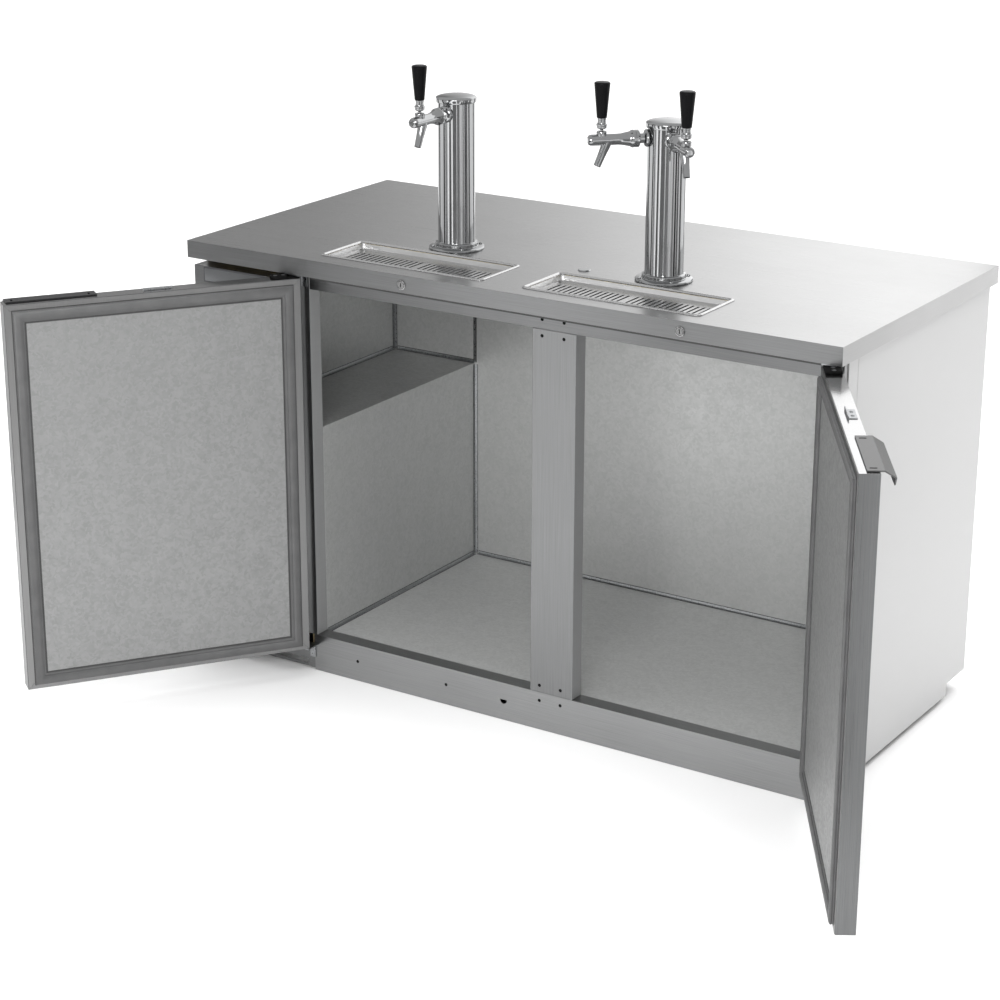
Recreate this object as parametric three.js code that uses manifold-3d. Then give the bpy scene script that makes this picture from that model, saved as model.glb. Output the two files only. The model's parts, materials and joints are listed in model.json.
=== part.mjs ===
// Two-door, three-tap direct-draw keg cooler with its compressor bay on the left.
// Millimetres, +Z up, fronts facing -Y, floor at z = 0, origin under the middle of the worktop.
// The doors are built closed and then swung open about their hinge pins.
import * as THREE from 'three';
import { mergeVertices } from 'three/addons/utils/BufferGeometryUtils.js';
import Module from 'manifold-3d';

const wasm = await Module();
wasm.setup();

// ---- driving dimensions -------------------------------------------------------------------
const GAP = 0.3;                 // clearance between parts that touch
const HALF_W = 749.5;            // worktop half width
const HALF_D = 360;              // worktop half depth, also the cabinet's rear face
const TOP_Z = 920.7;             // worktop upper face
const TOP_T = 36.4;              // worktop edge height
const UNDER_Z = TOP_Z - TOP_T;   // worktop lower face
const SIDE_X = 733.7;            // outer face of the side panels
const FRAME_Y = -315.7;          // front plane of the door frame
const SHEET = 1.5;               // folded sheet thickness
const CHANNEL = 36;              // depth of the frame channels
const RAIL_Z = 82.2;             // top of the bottom rail
const HEAD_Z = 845.6;            // underside of the header
const JAMB_L = -467.4;           // door-side edge of the left jamb
const JAMB_R = 688;              // door-side edge of the right jamb
const POST_X = [71.5, 170.8];    // centre mullion
const BAY_X = -508;              // wall between the compressor bay and the keg space
const FLOOR_Z = 78.5;            // keg space floor
const CEIL_Z = 856;              // keg space ceiling
const BACK_Y = 300;              // keg space back wall
const SHELF_Z = 541;             // raised shelf over the compressor bay
const SHELF_X = -691;            // far side of the raised shelf
const SHELF_Y = -279.7;          // front of the liner
const PANEL_X = [-732.4, -533];  // louvred panel
const PANEL_Z = [63, 871.4];
const DOOR_W = 603.9;
const DOOR_T = 35.5;
const DOOR_Z = [63.5, 877];
const PIVOT_U = 4.9;             // hinge pin from the door's hinge edge
const PIVOT_N = 18.6;            // hinge pin from the door's inner face
const PIVOT_Y = -344.3;
const PIVOT_LX = -480.4;
const PIVOT_RX = 722.7;
const OPEN_L = -125.55;          // degrees from closed
const OPEN_R = 121.33;
const TRAYS = [[-244, -241.5], [239.5, -243]];
const TRAY_W = 394;
const TRAY_D = 149;
const TRAY_DEPTH = 22;
const TOWERS = [[-243, -108], [245, -110]];
const COLUMN_R = 38.1;
const FLANGE_R = 57;
const TAP_Z = 1202;              // height of the tap axis
const COLUMN_Z = 1227;
const LOCKS = [-206.5, 420];
const LOCK_Z = 900.5;

// ---- solid helpers ------------------------------------------------------------------------
function toSolid(source) {
  let g = source.clone();
  g.deleteAttribute('normal');
  g.deleteAttribute('uv');
  g = mergeVertices(g, 1e-4);
  const p = g.attributes.position;
  const id = g.index.array;
  const tris = [];
  let volume = 0;
  const a = new THREE.Vector3();
  const b = new THREE.Vector3();
  const c = new THREE.Vector3();
  for (let i = 0; i < id.length; i += 3) {
    const t = [id[i], id[i + 1], id[i + 2]];
    if (t[0] === t[1] || t[1] === t[2] || t[0] === t[2]) continue;
    a.fromBufferAttribute(p, t[0]);
    b.fromBufferAttribute(p, t[1]);
    c.fromBufferAttribute(p, t[2]);
    volume += a.dot(b.cross(c));
    tris.push(t);
  }
  if (volume < 0) tris.forEach((t) => t.reverse());
  return new wasm.Manifold(new wasm.Mesh({
    numProp: 3,
    vertProperties: new Float32Array(p.array),
    triVerts: new Uint32Array(tris.flat()),
  }));
}
function box(x0, x1, y0, y1, z0, z1) {
  const g = new THREE.BoxGeometry(x1 - x0, y1 - y0, z1 - z0);
  g.translate((x0 + x1) / 2, (y0 + y1) / 2, (z0 + z1) / 2);
  return toSolid(g);
}
function rodZ(x, y, z0, z1, r, seg = 24, r2 = r) {
  const g = new THREE.CylinderGeometry(r2, r, z1 - z0, seg);
  g.rotateX(Math.PI / 2);
  g.translate(x, y, (z0 + z1) / 2);
  return toSolid(g);
}
function rodY(x, z, y0, y1, r, seg = 24) {
  const g = new THREE.CylinderGeometry(r, r, y1 - y0, seg);
  g.translate(x, (y0 + y1) / 2, z);
  return toSolid(g);
}
function latheZ(profile, seg = 40) {
  const g = new THREE.LatheGeometry(profile.map(([r, z]) => new THREE.Vector2(r, z)), seg);
  g.rotateX(Math.PI / 2);
  return toSolid(g);
}
// round solid along -Y: profile pairs are radius and distance from the axis of the column
function latheForward(profile, seg = 24) {
  const g = new THREE.LatheGeometry(profile.map(([r, d]) => new THREE.Vector2(r, d)), seg);
  g.rotateX(Math.PI);
  return toSolid(g);
}
function roundedPlate(cx, cy, w, d, r, z0, z1, seg = 4) {
  const s = new THREE.Shape();
  const x = w / 2;
  const y = d / 2;
  s.moveTo(x - r, -y);
  s.absarc(x - r, -y + r, r, -Math.PI / 2, 0, false);
  s.absarc(x - r, y - r, r, 0, Math.PI / 2, false);
  s.absarc(-x + r, y - r, r, Math.PI / 2, Math.PI, false);
  s.absarc(-x + r, -y + r, r, Math.PI, Math.PI * 1.5, false);
  const g = new THREE.ExtrudeGeometry(s, { depth: z1 - z0, bevelEnabled: false, curveSegments: seg });
  g.translate(cx, cy, z0);
  return toSolid(g);
}
// outline in Y (or N) and Z, extruded along X
function extrudeX(points, x0, x1) {
  const s = new THREE.Shape(points.map(([y, z]) => new THREE.Vector2(y, z)));
  const g = new THREE.ExtrudeGeometry(s, { depth: x1 - x0, bevelEnabled: false });
  g.rotateY(Math.PI / 2);
  g.rotateX(Math.PI / 2);
  g.translate(x0, 0, 0);
  return toSolid(g);
}
// outline in X and Z, extruded along Y
function extrudeY(points, y0, y1) {
  const s = new THREE.Shape(points.map(([x, z]) => new THREE.Vector2(x, z)));
  const g = new THREE.ExtrudeGeometry(s, { depth: y1 - y0, bevelEnabled: false });
  g.rotateX(Math.PI / 2);
  g.translate(0, y1, 0);
  return toSolid(g);
}
function union(...parts) {
  return parts.flat().reduce((all, p) => all.add(p));
}
function cut(solid, ...tools) {
  return tools.flat().reduce((left, t) => left.subtract(t), solid);
}

// ---- materials ----------------------------------------------------------------------------
const STEEL = [0xa6a8a9, 0.38, 1];
const PANEL = [0xd2d3d3, 0.45, 0.1];
const GALVANISED = [0x9a9c9d, 0.5, 0.9];
const CHROME = [0xd9dbdd, 0.08, 1];
const BLACK = [0x1c1c1d, 0.5, 0];
const RUBBER = [0x5c5d5e, 0.8, 0];
const FOAM = [0xd8c68a, 0.95, 0];
const FINS = [0xb8babc, 0.45, 1];
const DARK = [0x2b2c2e, 0.5, 0.2];

function add(parent, name, solid, [color, roughness, metalness]) {
  const out = solid.getMesh();
  const g = new THREE.BufferGeometry();
  g.setAttribute('position', new THREE.BufferAttribute(Float32Array.from(out.vertProperties), 3));
  g.setIndex(new THREE.BufferAttribute(Uint32Array.from(out.triVerts), 1));
  const mesh = new THREE.Mesh(g, new THREE.MeshStandardMaterial({ color, roughness, metalness }));
  mesh.name = name;
  parent.add(mesh);
  return mesh;
}

const cooler = new THREE.Group();
cooler.name = 'keg_cooler';
const cabinet = new THREE.Group();
cabinet.name = 'cabinet';
cooler.add(cabinet);

// ---- worktop: folded skin, open below, with tray cut-outs, column holes and lock pockets ----
let worktop = box(-HALF_W, HALF_W, -HALF_D, HALF_D, UNDER_Z, TOP_Z);
worktop = cut(worktop,
  box(-HALF_W + SHEET, HALF_W - SHEET, -HALF_D + 9, HALF_D - SHEET, UNDER_Z + SHEET, TOP_Z - SHEET),
  box(-731, 731, FRAME_Y + 1, HALF_D - 4, UNDER_Z - 1, UNDER_Z + 5));
for (const [x, y] of TRAYS) {
  worktop = cut(worktop, roundedPlate(x, y, TRAY_W - 19, TRAY_D - 19, 10, UNDER_Z, TOP_Z + 1));
}
for (const [x, y] of TOWERS) {
  worktop = cut(worktop, rodZ(x, y, UNDER_Z, TOP_Z + 1, 33, 24));
}
worktop = cut(worktop, rodZ(75.4, -129.3, UNDER_Z, TOP_Z + 1, 10.4));
for (const x of LOCKS) {
  worktop = cut(worktop,
    rodY(x, LOCK_Z, -HALF_D - 1, -340, 8.5),
    box(x - 9, x + 26, -352, -339, UNDER_Z - 1, LOCK_Z + 10));
}
add(cabinet, 'worktop', worktop, STEEL);
add(cabinet, 'worktop_plug', union(
  rodZ(75.4, -129.3, TOP_Z + GAP, TOP_Z + 2.4, 13, 32, 11.5),
  rodZ(75.4, -129.3, TOP_Z - 8, TOP_Z + 1, 9.8)), CHROME);

// ---- outer panels -------------------------------------------------------------------------
add(cabinet, 'side_panel_left', cut(
  box(-SIDE_X, -SIDE_X + SHEET, FRAME_Y, 358.2, 14, UNDER_Z - GAP),
  box(-SIDE_X - 1, -SIDE_X + 3, 268, 360, 13, 41)), PANEL);
add(cabinet, 'side_panel_right', cut(
  union(
    box(SIDE_X - SHEET, SIDE_X, -296, 358.2, 14, UNDER_Z - GAP),
    box(702, SIDE_X, -296, -294.5, 86, UNDER_Z - GAP)),
  box(SIDE_X - 3, SIDE_X + 1, 268, 360, 13, 41),
  box(SIDE_X - 0.7, SIDE_X + 1, -256.8, -255.4, 13, UNDER_Z)), PANEL);
let rear = box(-SIDE_X, SIDE_X, HALF_D - SHEET, HALF_D, 41, UNDER_Z - GAP);
for (let i = 0; i < 12; i += 1) {
  rear = cut(rear, box(-700, -540, HALF_D - 3, HALF_D + 1, 130 + i * 24, 138 + i * 24));
}
rear = cut(rear, rodY(-520, 80, HALF_D - 3, HALF_D + 1, 9));
add(cabinet, 'rear_panel', rear, PANEL);

// ---- base: pan with three runners ------------------------------------------------------------
add(cabinet, 'base_frame', union(
  box(-731.9, -476, -311, 358.2, 41.5, 43.5),
  box(-477, 731.9, -279.4, 358.2, 41.5, 43.5),
  [-600, 0, 600].map((x) => cut(
    box(x - 30, x + 30, -270, 320, 0, 41.6),
    box(x - 28, x + 28, -271, 321, 2, 39.6)))), DARK);

// ---- foam core ------------------------------------------------------------------------------
let foam = union(
  box(BAY_X, 731.9, SHELF_Y, 358.2, 44, UNDER_Z - 0.2),
  box(-731.9, BAY_X + 0.1, SHELF_Y, 358.2, 508, UNDER_Z - 0.2),
  box(-730.5, 730.5, -314, 355.4, UNDER_Z - 0.2, TOP_Z - SHEET - GAP));
foam = cut(foam,
  box(JAMB_L - 1.3, JAMB_R + 1.3, SHELF_Y - 1, BACK_Y + 1.3, FLOOR_Z - 1.3, CEIL_Z + 1.3),
  box(SHELF_X - 1.3, JAMB_L, SHELF_Y - 1, BACK_Y + 1.3, SHELF_Z - 1.3, CEIL_Z + 1.3));
foam = cut(foam, box(-731, 731, -320, SHELF_Y, UNDER_Z - 2, UNDER_Z + GAP));
for (const [x, y] of TRAYS) {
  foam = cut(foam, box(x - 188.5, x + 188.5, y - 66, y + 66, 880, TOP_Z), rodZ(x, y, 860, 890, 11, 12));
}
for (const [x, y] of TOWERS) {
  foam = cut(foam, rodZ(x, y, 850, TOP_Z, 33.5, 20));
}
foam = cut(foam, rodZ(75.4, -129.3, 900, TOP_Z, 12));
add(cabinet, 'insulation', foam, FOAM);

// ---- liner: three folded sheets ----------------------------------------------------------------
add(cabinet, 'liner_floor_right', extrudeY([[JAMB_L + GAP, FLOOR_Z - 1], [JAMB_R + 1, FLOOR_Z - 1],
  [JAMB_R + 1, CEIL_Z - GAP], [JAMB_R, CEIL_Z - GAP], [JAMB_R, FLOOR_Z], [JAMB_L + GAP, FLOOR_Z]],
SHELF_Y, BACK_Y - GAP), GALVANISED);
let upper = extrudeX([[SHELF_Y, CEIL_Z], [BACK_Y, CEIL_Z], [BACK_Y, FLOOR_Z - 1], [BACK_Y + 1, FLOOR_Z - 1],
  [BACK_Y + 1, CEIL_Z + 1], [SHELF_Y, CEIL_Z + 1]], SHELF_X - 1, JAMB_R + 1);
upper = cut(upper, box(SHELF_X - 5, JAMB_L - 1, BACK_Y - 2, BACK_Y + 3, FLOOR_Z - 3, SHELF_Z - 1));
for (const [x, y] of TOWERS) {
  upper = cut(upper, rodZ(x, y, 850, 860, 32, 24));
}
add(cabinet, 'liner_back_ceiling', upper, GALVANISED);
add(cabinet, 'liner_left_shelf', extrudeY([[JAMB_L - 1, FLOOR_Z - 1], [JAMB_L, FLOOR_Z - 1],
  [JAMB_L, SHELF_Z], [SHELF_X, SHELF_Z], [SHELF_X, CEIL_Z - GAP], [SHELF_X - 1, CEIL_Z - GAP],
  [SHELF_X - 1, SHELF_Z - 1], [JAMB_L - 1, SHELF_Z - 1]], SHELF_Y, BACK_Y - GAP), GALVANISED);

// ---- door frame -------------------------------------------------------------------------------
const frameBack = FRAME_Y + CHANNEL - GAP;
function channel(x0, x1, z0, z1, wall = 2) {
  return cut(box(x0, x1, FRAME_Y, frameBack, z0, z1),
    box(x0 + wall, x1 - wall, FRAME_Y + wall, frameBack + 1, z0 + wall, z1 - wall));
}
function screws(solid, points) {
  return cut(solid, points.map(([x, z]) => rodY(x, z, FRAME_Y - 1, FRAME_Y + 3, 2.6, 12)));
}
const screwX = [93.5, 143.1];
add(cabinet, 'header', screws(channel(JAMB_L + GAP, JAMB_R - GAP, HEAD_Z, UNDER_Z - GAP),
  screwX.map((x) => [x, 865.1])), STEEL);
let rail = union(
  box(-475.4, SIDE_X - 2, FRAME_Y, FRAME_Y + 2, 0, RAIL_Z),
  box(-475.4, SIDE_X - 2, FRAME_Y, frameBack, RAIL_Z - 2, RAIL_Z),
  box(-475.4, SIDE_X - 2, frameBack - 2, frameBack, 46, RAIL_Z),
  box(SIDE_X - 4, SIDE_X, FRAME_Y, -305, 0, RAIL_Z));
rail = screws(rail, [...screwX.map((x) => [x, 64.1]), [-135.4, 44.7], [-362.3, 44.4]]);
rail = cut(rail, cut(rodY(6.9, 43.8, FRAME_Y - 1, FRAME_Y + 3, 8), box(-5, 20, -330, -300, 45, 60)));
add(cabinet, 'bottom_rail', rail, STEEL);
add(cabinet, 'jamb_left', channel(-532.7, JAMB_L, RAIL_Z + GAP, UNDER_Z - GAP), STEEL);
add(cabinet, 'jamb_right', union(
  box(JAMB_R, SIDE_X, FRAME_Y, FRAME_Y + 2, RAIL_Z + GAP, UNDER_Z - GAP),
  box(SIDE_X - 2, SIDE_X, FRAME_Y, -305, RAIL_Z + GAP, UNDER_Z - GAP),
  box(JAMB_R, JAMB_R + 2, FRAME_Y, frameBack, RAIL_Z + GAP, UNDER_Z - GAP)), STEEL);
add(cabinet, 'mullion', screws(channel(POST_X[0], POST_X[1], RAIL_Z + GAP, HEAD_Z - GAP),
  screwX.flatMap((x) => [[x, 832.2], [x, 97.5]])), STEEL);

// ---- compressor bay front: kick panel, louvred panel and blank plate -----------------------------
add(cabinet, 'kick_panel', cut(
  box(-SIDE_X + SHEET + GAP, -475.7, FRAME_Y, FRAME_Y + SHEET, 4.2, 60),
  box(-700, -494, FRAME_Y - 1, FRAME_Y + 3, 11.7, 21.7)), STEEL);
let grille = cut(box(PANEL_X[0], PANEL_X[1], -HALF_D, FRAME_Y - GAP, PANEL_Z[0], PANEL_Z[1]),
  box(PANEL_X[0] + SHEET, PANEL_X[1] - SHEET, -HALF_D + SHEET, FRAME_Y + 1,
    PANEL_Z[0] + SHEET, PANEL_Z[1] - SHEET));
for (let i = 0; i < 24; i += 1) {
  grille = cut(grille, box(-708, -557, -HALF_D - 1, -HALF_D + 3, 110 + i * 18, 119 + i * 18));
}
add(cabinet, 'grille_panel', grille, STEEL);
add(cabinet, 'name_plate', roundedPlate(0, 0, 158, 32, 3, 0, 1.2)
  .transform([1, 0, 0, 0, 0, 0, 1, 0, 0, -1, 0, 0, -628, -HALF_D - GAP, 854.4, 1]), DARK);

// ---- refrigeration unit ----------------------------------------------------------------------------
const unitX = -622;
add(cabinet, 'compressor', union(
  latheZ([[0, 0], [66, 0], [74, 12], [74, 96], [66, 128], [44, 146], [0, 152]], 32).translate([unitX, 70, 58]),
  box(unitX - 85, unitX + 85, -15, 155, 44, 60),
  rodZ(unitX + 30, 70, 190, 240, 6, 12),
  box(unitX - 20, unitX + 20, 138, 165, 100, 160)), BLACK);
let coil = box(unitX - 78, unitX + 78, -262, -236, 96, 344);
for (let i = 0; i < 18; i += 1) {
  coil = coil.add(box(unitX - 84, unitX + 84, -270, -228, 100 + i * 14, 102 + i * 14));
}
coil = coil.add(box(unitX - 88, unitX - 82, -272, -226, 92, 348)).add(
  box(unitX + 82, unitX + 88, -272, -226, 92, 348));
coil = coil.add(box(unitX - 88, unitX - 70, -272, -226, 44, 94)).add(
  box(unitX + 70, unitX + 88, -272, -226, 44, 94));
add(cabinet, 'condenser_coil', coil, FINS);
const fanZ = 220;
let shroud = cut(box(unitX - 100, unitX + 100, -220, -190, 44, 350),
  box(unitX - 98, unitX + 98, -218, -189, 46, 348));
shroud = cut(shroud, rodY(unitX, fanZ, -225, -210, 80, 40));
shroud = union(shroud,
  box(unitX - 99, unitX + 99, -196, -192, fanZ - 8, fanZ + 8),
  rodY(unitX, fanZ, -200, -150, 28, 24));
add(cabinet, 'fan_shroud', shroud, DARK);

function fan(radius, hub, depth, blades) {
  let body = rodY(0, 0, -depth / 2, depth / 2, hub, 24);
  for (let i = 0; i < blades; i += 1) {
    const blade = new THREE.BoxGeometry(radius - hub + 4, 1.6, radius * 0.62);
    blade.rotateX(0.5);
    blade.translate((radius + hub - 4) / 2, 0, 0);
    blade.rotateY((i * 2 * Math.PI) / blades);
    body = body.add(toSolid(blade));
  }
  return body.intersect(rodY(0, 0, -radius, radius, radius, 40));
}
const condenserFan = new THREE.Group();
condenserFan.name = 'condenser_fan_spin';
condenserFan.position.set(unitX, -213, fanZ);
cabinet.add(condenserFan);
add(condenserFan, 'condenser_fan', fan(74, 20, 18, 5), BLACK);

// ---- evaporator under the ceiling, at the back -------------------------------------------------------
const evapX = [60, 460];
const evapY = 110;
const evapZ = 745;
const evapFan = [330, 800];
const knob = [130, 800];
let evaporator = box(evapX[0], evapX[1], evapY, BACK_Y - GAP, evapZ, CEIL_Z - GAP);
evaporator = cut(evaporator,
  box(evapX[0] + 2, evapX[1] - 2, evapY + 2, BACK_Y + 1, evapZ + 2, CEIL_Z - 2),
  rodY(evapFan[0], evapFan[1], evapY - 1, evapY + 4, 46, 36));
evaporator = union(evaporator,
  box(evapX[0] + 1, evapX[1] - 1, evapY + 34, evapY + 38, evapFan[1] - 6, evapFan[1] + 6),
  rodY(evapFan[0], evapFan[1], evapY + 22, evapY + 60, 18, 20));
evaporator = cut(evaporator, rodY(knob[0], knob[1], evapY - 1, evapY + 4, 4.2, 16));
add(cabinet, 'evaporator_housing', evaporator, FINS);
const evaporatorFan = new THREE.Group();
evaporatorFan.name = 'evaporator_fan_spin';
evaporatorFan.position.set(evapFan[0], evapY + 12, evapFan[1]);
cabinet.add(evaporatorFan);
add(evaporatorFan, 'evaporator_fan', fan(42, 14, 16, 5), BLACK);
const thermostat = new THREE.Group();
thermostat.name = 'thermostat_turn';
thermostat.position.set(knob[0], evapY, knob[1]);
cabinet.add(thermostat);
add(thermostat, 'thermostat_knob', cut(
  union(rodY(0, 0, -16, -GAP, 15, 28), rodY(0, 0, -5, 6, 3.6, 16)),
  box(-1.2, 1.2, -17, -13, 3, 16)), BLACK);

// ---- drip trays with lift-out grids --------------------------------------------------------------------
const rimZ = TOP_Z + GAP;
TRAYS.forEach(([x, y], i) => {
  const side = i === 0 ? 'left' : 'right';
  const bottom = TOP_Z - TRAY_DEPTH;
  let tray = union(
    roundedPlate(x, y, TRAY_W, TRAY_D, 12, rimZ, rimZ + 2.2),
    roundedPlate(x, y, TRAY_W - 5, TRAY_D - 5, 10, rimZ + 2, rimZ + 3.4),
    roundedPlate(x, y, TRAY_W - 20, TRAY_D - 20, 9, bottom, rimZ + 1),
    rodZ(x, y, bottom - 26, bottom + 0.5, 8.5));
  tray = cut(tray,
    roundedPlate(x, y, TRAY_W - 23, TRAY_D - 23, 8, bottom + 1.5, rimZ + 5),
    rodZ(x, y, bottom - 30, bottom + 3, 6.5));
  add(cabinet, `drip_tray_${side}`, tray, STEEL);

  const grid = new THREE.Group();
  grid.name = `drip_grid_lift_${side}`;
  grid.position.set(x, y, bottom + 1.5 + GAP);
  cabinet.add(grid);
  const gw = TRAY_W - 25;
  const gd = TRAY_D - 25;
  const plateZ = 7.5;
  let plate = union(
    roundedPlate(0, 0, gw, gd, 7, plateZ, plateZ + 1.5),
    box(-gw / 2 + 8, -gw / 2 + 9.5, -gd / 2 + 10, gd / 2 - 10, 0, plateZ + 0.5),
    box(gw / 2 - 9.5, gw / 2 - 8, -gd / 2 + 10, gd / 2 - 10, 0, plateZ + 0.5));
  for (const half of [-1, 1]) {
    for (let k = 0; k < 14; k += 1) {
      const cx = half * (10 + k * 12);
      plate = cut(plate, box(cx - 2.3, cx + 2.3, -50, 28, plateZ - 1, plateZ + 3));
    }
  }
  add(grid, `drip_grid_${side}`, plate, STEEL);
});

// ---- draught columns ---------------------------------------------------------------------------------
const tapAngles = [[0], [-45, 45]];
let tapCount = 0;
TOWERS.forEach(([x, y], i) => {
  const side = i === 0 ? 'left' : 'right';
  const tower = new THREE.Group();
  tower.name = `tower_${side}`;
  tower.position.set(x, y, 0);
  cabinet.add(tower);
  const z0 = TOP_Z + GAP;
  let column = latheZ([[32, z0], [FLANGE_R, z0], [FLANGE_R, z0 + 3.5], [FLANGE_R - 2.5, z0 + 6],
    [COLUMN_R + 2, z0 + 7], [COLUMN_R + 2, z0 + 12], [COLUMN_R, z0 + 14], [COLUMN_R, COLUMN_Z],
    [COLUMN_R - 1.6, COLUMN_Z], [COLUMN_R - 1.6, z0 + 8], [32, z0 + 6], [32, z0]], 36);
  for (const angle of tapAngles[i]) {
    column = cut(column, rodY(0, TAP_Z, -60, 0, 11.6, 20).rotate([0, 0, angle]));
  }
  add(tower, `tower_column_${side}`, column, CHROME);
  add(tower, `tower_cap_${side}`, latheZ([[0, COLUMN_Z + GAP], [COLUMN_R + 0.4, COLUMN_Z + GAP],
    [COLUMN_R + 0.4, COLUMN_Z - 5], [COLUMN_R + 3.2, COLUMN_Z - 5], [COLUMN_R + 3.4, COLUMN_Z + 4],
    [COLUMN_R + 1.5, COLUMN_Z + 7], [COLUMN_R - 9, COLUMN_Z + 9.6], [0, COLUMN_Z + 11]], 36), CHROME);

  for (const angle of tapAngles[i]) {
    tapCount += 1;
    const tap = new THREE.Group();
    tap.name = `tap_${tapCount}`;
    tap.position.set(0, 0, TAP_Z);
    tap.rotation.z = THREE.MathUtils.degToRad(angle);
    tower.add(tap);
    let body = latheForward([[0, 26], [11.2, 26], [11.2, COLUMN_R + 1.2],
      [16.5, COLUMN_R + 1.6], [17, COLUMN_R + 3.5], [14, COLUMN_R + 7], [9.6, COLUMN_R + 8],
      [9.6, 56.5], [17, 57.5], [17, 72], [13.6, 79], [11.2, 93],
      [10.8, 150], [9, 155], [0, 157.2]], 18);
    const spout = new THREE.CylinderGeometry(9.5, 7.2, 50, 16);
    spout.translate(0, -25, 0);
    spout.rotateX(-0.42);
    spout.translate(0, -121, 0);
    const bore = new THREE.CylinderGeometry(5.2, 5.2, 20, 12);
    bore.translate(0, -44, 0);
    bore.rotateX(-0.42);
    bore.translate(0, -121, 0);
    body = union(body, orientSpout(spout), rodZ(0, -130, 4, 16.5, 9.8, 18));
    body = cut(body, orientSpout(bore), rodZ(0, -130, -1, 5.1, 5.3, 12),
      rodZ(0, -130, 5, 17, 5.3, 16, 9.2));
    add(tap, `faucet_${tapCount}`, body, CHROME);

    const pull = new THREE.Group();
    pull.name = `tap_pull_${tapCount}`;
    pull.position.set(0, -130, 4.5);
    tap.add(pull);
    add(pull, `tap_lever_${tapCount}`, latheZ([[0, -4.2], [3, -3.2], [4.3, 0], [3, 3], [3, 15.4],
      [9.6, 18.6], [9.8, 23.6], [10.4, 24], [10.4, 26.4], [8.2, 27], [8, 37.5],
      [0, 37.5]], 16), CHROME);
    add(pull, `tap_handle_${tapCount}`, latheZ([[0, 37.8], [9.6, 37.8], [15.2, 102],
      [15.4, 104], [14.4, 106], [0, 106.6]], 20), BLACK);
  }
});
// turns a tool drawn hanging along -Y at a distance into one hanging along -Z
function orientSpout(tool) {
  const g = tool.clone();
  g.translate(0, 121, 0);
  g.rotateX(Math.PI / 2);
  g.translate(0, -121, 0);
  return toSolid(g);
}

// ---- door locks: bezel, plug and cam, turning about Y -----------------------------------------------------
LOCKS.forEach((x, i) => {
  const side = i === 0 ? 'left' : 'right';
  const turn = new THREE.Group();
  turn.name = `lock_turn_${side}`;
  turn.position.set(x, 0, LOCK_Z);
  cabinet.add(turn);
  add(turn, `door_lock_${side}`, cut(
    union(
      rodY(0, 0, -HALF_D - 2.6, -HALF_D - GAP, 10.5, 32),
      rodY(0, 0, -HALF_D - 1, -347, 8, 24),
      box(-6, 21.5, -348.5, -345.5, -6, 6)),
    box(-0.9, 0.9, -HALF_D - 4, -HALF_D - 0.8, -5, 5)), CHROME);
});

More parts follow.
